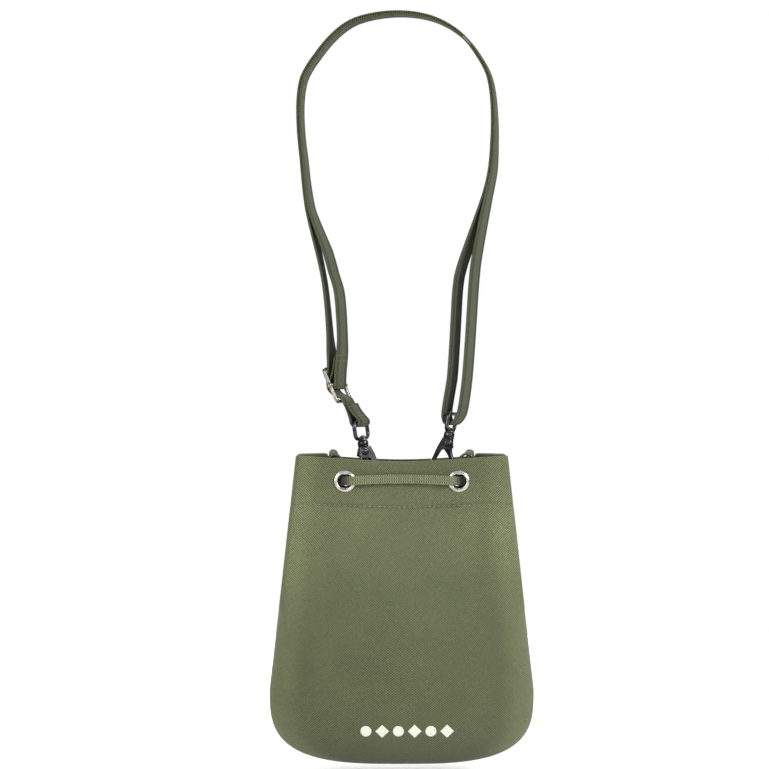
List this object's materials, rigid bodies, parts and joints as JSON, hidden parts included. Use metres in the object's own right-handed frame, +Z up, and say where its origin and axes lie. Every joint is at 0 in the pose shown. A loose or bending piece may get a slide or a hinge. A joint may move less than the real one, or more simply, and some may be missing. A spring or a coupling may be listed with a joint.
{
  "type": "drawstring shoulder bag",
  "caption": "Canvas drawstring pouch with a cinched, pleated mouth, hung by D-rings and lever snap hooks from a doubled, adjustable webbing shoulder strap.",
  "frame": {"origin": "underside of the crown of the strap, where the bag hangs", "axes": "+Z up along the hanging bag; +X to the right seen from the front; the front of the bag faces -Y"},
  "size_m": [0.2044, 0.0698, 0.5817],
  "materials": {
    "canvas": "olive green plain-weave cotton canvas, matt",
    "webbing": "dark olive ribbed cotton webbing, matt",
    "nickel": "bright brushed nickel plate",
    "antique_nickel": "dark antique nickel plate"
  },
  "bodies": {
    "strap": {"strap_webbing": "webbing", "strap_inner_run": "webbing", "strap_outer_run": "webbing", "strap_hook_tab": "webbing", "left_swivel_bow": "antique_nickel", "right_swivel_bow": "antique_nickel"},
    "slider": {"slider_frame": "nickel", "slider_bar": "nickel", "strap_sewn_end": "webbing"},
    "left_hook": {"left_hook_body": "antique_nickel", "left_gate_rivet": "nickel", "left_swivel_pin": "nickel"},
    "right_hook": {"right_hook_body": "antique_nickel", "right_gate_rivet": "nickel", "right_swivel_pin": "nickel"},
    "left_gate": {"left_gate_lever": "antique_nickel", "left_gate_spring": "nickel"},
    "right_gate": {"right_gate_lever": "antique_nickel", "right_gate_spring": "nickel"},
    "bag": {"front_panel": "canvas", "back_panel": "canvas", "front_hem": "canvas", "back_hem": "canvas", "seam_binding": "canvas", "drawcord": "canvas", "left_tab": "webbing", "right_tab": "webbing", "eyelet_front_left": "nickel", "eyelet_front_left_pleat": "nickel", "eyelet_front_right": "nickel", "eyelet_front_right_pleat": "nickel", "eyelet_back_left": "nickel", "eyelet_back_left_pleat": "nickel", "eyelet_back_right": "nickel", "eyelet_back_right_pleat": "nickel", "washer_front_left": "nickel", "washer_front_left_pleat": "nickel", "washer_front_right": "nickel", "washer_front_right_pleat": "nickel", "washer_back_left": "nickel", "washer_back_left_pleat": "nickel", "washer_back_right": "nickel", "washer_back_right_pleat": "nickel"},
    "left_ring": {"left_d_ring": "nickel"},
    "right_ring": {"right_d_ring": "nickel"},
    "cord_ends": {"drawcord_knot": "canvas", "drawcord_tail_left": "canvas", "drawcord_tail_right": "canvas"}
  },
  "joints": [
    {"name": "bag_swing", "type": "hinge", "parent": "strap", "child": "bag", "pos_m": [0.0304, 0, -0.3576], "axis": [0.9931, 0, 0.1177], "range_deg": [-20, 20]},
    {"name": "left_hook_swivel", "type": "hinge", "parent": "strap", "child": "left_hook", "pos_m": [-0.0253, 0, -0.3642], "axis": [-0.1392, 0, 0.9903], "range_deg": [-20, 20]},
    {"name": "right_hook_swivel", "type": "hinge", "parent": "strap", "child": "right_hook", "pos_m": [0.0304, 0, -0.3576], "axis": [-0.1822, 0, -0.9833], "range_deg": [-25, 25]},
    {"name": "left_gate_open", "type": "hinge", "parent": "left_hook", "child": "left_gate", "pos_m": [-0.02961, -0.00015, -0.33693], "axis": [-0.306, 0.9511, -0.043], "range_deg": [0, 22], "stiffness_Nm_per_rad": 0.03, "springref_deg": -20.05},
    {"name": "right_gate_open", "type": "hinge", "parent": "right_hook", "child": "right_gate", "pos_m": [0.03592, 0, -0.33055], "axis": [0, -1, 0], "range_deg": [0, 22], "stiffness_Nm_per_rad": 0.03, "springref_deg": -20.05},
    {"name": "left_ring_lift", "type": "hinge", "parent": "bag", "child": "left_ring", "pos_m": [-0.04077, 0, -0.34942], "axis": [0, 1, 0], "range_deg": [-12, 0]},
    {"name": "right_ring_lift", "type": "hinge", "parent": "bag", "child": "right_ring", "pos_m": [0.04692, 0, -0.34416], "axis": [0, -1, 0], "range_deg": [-12, 0]},
    {"name": "slider_adjust", "type": "slide", "parent": "strap", "child": "slider", "axis": [-0.055, 0, 0.9985], "range_m": [0, 0.025], "deforming": ["strap_inner_run", "strap_outer_run"]},
    {"name": "cord_pull", "type": "slide", "parent": "bag", "child": "cord_ends", "axis": [0, 1, 0], "range_m": [0, 0.02]}
  ]
}
